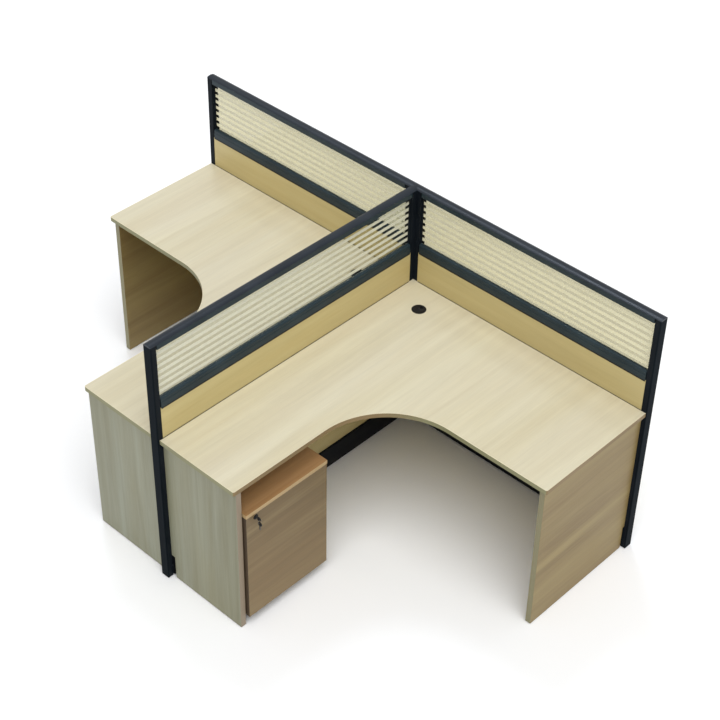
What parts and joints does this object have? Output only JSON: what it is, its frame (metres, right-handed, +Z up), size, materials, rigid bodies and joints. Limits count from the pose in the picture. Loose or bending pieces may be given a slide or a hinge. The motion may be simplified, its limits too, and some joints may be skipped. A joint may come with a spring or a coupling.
{
  "type": "two-person workstation",
  "caption": "Two-person office workstation: L-shaped desks either side of a T of framed glass and board screens, with a lockable mobile door cabinet.",
  "frame": {"origin": "centre of the tee post at floor level, under its levelling foot", "axes": "+X along the spine screen to the right-hand desk, +Y behind the spine screen (the centre screen runs along -Y between the desks), +Z up"},
  "size_m": [2.448, 1.458, 1.19],
  "materials": {
    "frame_paint": "dark blue-grey powder coat, satin",
    "desk_laminate": "pale maple laminate, fine grain, satin",
    "board_laminate": "light oak laminate, satin",
    "panel_laminate": "grey-brown maple laminate, satin",
    "cabinet_laminate": "maple laminate, satin",
    "edging": "maple-coloured edging strip",
    "black_plastic": "black, fine grain",
    "skirting_paint": "near-black powder coat",
    "zinc_steel": "zinc plated",
    "clear_glass": "clear, faint warm tint",
    "frosted_glass": "frosted",
    "castor_tread": "hard tread, dark grey",
    "lock_black": "black, satin"
  },
  "bodies": {
    "workstation": {"tee_post": "frame_paint", "right_stiles": "frame_paint", "left_stiles": "frame_paint", "centre_stiles": "frame_paint", "right_rails": "frame_paint", "left_rails": "frame_paint", "centre_rails": "frame_paint", "right_top_cap": "frame_paint", "left_top_cap": "frame_paint", "centre_top_cap": "frame_paint", "right_end_trim": "frame_paint", "left_end_trim": "frame_paint", "centre_end_trim": "frame_paint", "right_glass": "clear_glass", "left_glass": "clear_glass", "centre_glass": "clear_glass", "frosted_bands": "frosted_glass", "right_boards": "board_laminate", "left_boards": "board_laminate", "centre_boards": "board_laminate", "right_skirting": "skirting_paint", "left_skirting": "skirting_paint", "centre_skirting": "skirting_paint", "right_desktop": "desk_laminate", "left_desktop": "desk_laminate", "desktop_edging": "edging", "right_side_panel": "panel_laminate", "right_near_panel": "panel_laminate", "left_side_panel": "panel_laminate", "left_near_panel": "panel_laminate", "floor_glides": "black_plastic", "desk_brackets": "zinc_steel", "outlet_rings": "black_plastic"},
    "tee_foot": {"tee_leveller": "zinc_steel"},
    "right_foot": {"right_leveller": "zinc_steel"},
    "left_foot": {"left_leveller": "zinc_steel"},
    "centre_foot": {"centre_leveller": "zinc_steel"},
    "right_outlet": {"right_outlet_cap": "black_plastic"},
    "left_outlet": {"left_outlet_cap": "black_plastic"},
    "cabinet": {"cabinet_top": "cabinet_laminate", "cabinet_sides": "cabinet_laminate", "cabinet_bottom": "cabinet_laminate", "cabinet_back": "cabinet_laminate", "cabinet_shelf": "cabinet_laminate", "cabinet_fittings": "zinc_steel", "castor_plates": "zinc_steel"},
    "door": {"cabinet_door": "cabinet_laminate", "hinge_bushes": "black_plastic", "lock_housing": "lock_black"},
    "lock": {"lock_barrel": "lock_black", "door_key": "black_plastic"},
    "ring": {"key_ring": "lock_black"},
    "swivel_1": {"castor_hood_1": "black_plastic"},
    "wheel_1": {"castor_wheel_1": "castor_tread"},
    "swivel_2": {"castor_hood_2": "black_plastic"},
    "wheel_2": {"castor_wheel_2": "castor_tread"},
    "swivel_3": {"castor_hood_3": "black_plastic"},
    "wheel_3": {"castor_wheel_3": "castor_tread"},
    "swivel_4": {"castor_hood_4": "black_plastic"},
    "wheel_4": {"castor_wheel_4": "castor_tread"}
  },
  "joints": [
    {"name": "cabinet_roll", "type": "slide", "parent": "workstation", "child": "cabinet", "axis": [1, 0, 0], "range_m": [0, 0.6]},
    {"name": "door_swing", "type": "hinge", "parent": "cabinet", "child": "door", "pos_m": [0.423, -0.958, 0.3], "axis": [0, 0, 1], "range_deg": [0, 110]},
    {"name": "lock_turn", "type": "hinge", "parent": "door", "child": "lock", "pos_m": [0.432, -1.326, 0.5625], "axis": [1, 0, 0], "range_deg": [-90, 0]},
    {"name": "key_ring_swing", "type": "hinge", "parent": "lock", "child": "ring", "pos_m": [0.4544, -1.326, 0.5614], "axis": [0, 1, 0], "range_deg": [-60, 20]},
    {"name": "castor_swivel_1", "type": "hinge", "parent": "cabinet", "child": "swivel_1", "pos_m": [0.364, -1.333, 0.05], "axis": [0, 0, 1], "continuous": true},
    {"name": "castor_spin_1", "type": "hinge", "parent": "swivel_1", "child": "wheel_1", "pos_m": [0.35, -1.333, 0.019], "axis": [0, 1, 0], "continuous": true},
    {"name": "castor_swivel_2", "type": "hinge", "parent": "cabinet", "child": "swivel_2", "pos_m": [0.364, -0.993, 0.05], "axis": [0, 0, 1], "continuous": true},
    {"name": "castor_spin_2", "type": "hinge", "parent": "swivel_2", "child": "wheel_2", "pos_m": [0.35, -0.993, 0.019], "axis": [0, 1, 0], "continuous": true},
    {"name": "castor_swivel_3", "type": "hinge", "parent": "cabinet", "child": "swivel_3", "pos_m": [0.086, -1.333, 0.05], "axis": [0, 0, 1], "continuous": true},
    {"name": "castor_spin_3", "type": "hinge", "parent": "swivel_3", "child": "wheel_3", "pos_m": [0.072, -1.333, 0.019], "axis": [0, 1, 0], "continuous": true},
    {"name": "castor_swivel_4", "type": "hinge", "parent": "cabinet", "child": "swivel_4", "pos_m": [0.086, -0.993, 0.05], "axis": [0, 0, 1], "continuous": true},
    {"name": "castor_spin_4", "type": "hinge", "parent": "swivel_4", "child": "wheel_4", "pos_m": [0.072, -0.993, 0.019], "axis": [0, 1, 0], "continuous": true},
    {"name": "tee_foot_turn", "type": "hinge", "parent": "workstation", "child": "tee_foot", "pos_m": [0, 0, 0], "axis": [0, 0, 1], "continuous": true},
    {"name": "right_foot_turn", "type": "hinge", "parent": "workstation", "child": "right_foot", "pos_m": [1.2055, 0, 0], "axis": [0, 0, 1], "continuous": true},
    {"name": "left_foot_turn", "type": "hinge", "parent": "workstation", "child": "left_foot", "pos_m": [-1.2055, 0, 0], "axis": [0, 0, 1], "continuous": true},
    {"name": "centre_foot_turn", "type": "hinge", "parent": "workstation", "child": "centre_foot", "pos_m": [0, -1.4115, 0], "axis": [0, 0, 1], "continuous": true},
    {"name": "right_outlet_turn", "type": "hinge", "parent": "workstation", "child": "right_outlet", "pos_m": [0.175, -0.155, 0.74], "axis": [0, 0, 1], "continuous": true},
    {"name": "left_outlet_turn", "type": "hinge", "parent": "workstation", "child": "left_outlet", "pos_m": [-0.175, -0.155, 0.74], "axis": [0, 0, 1], "continuous": true}
  ]
}
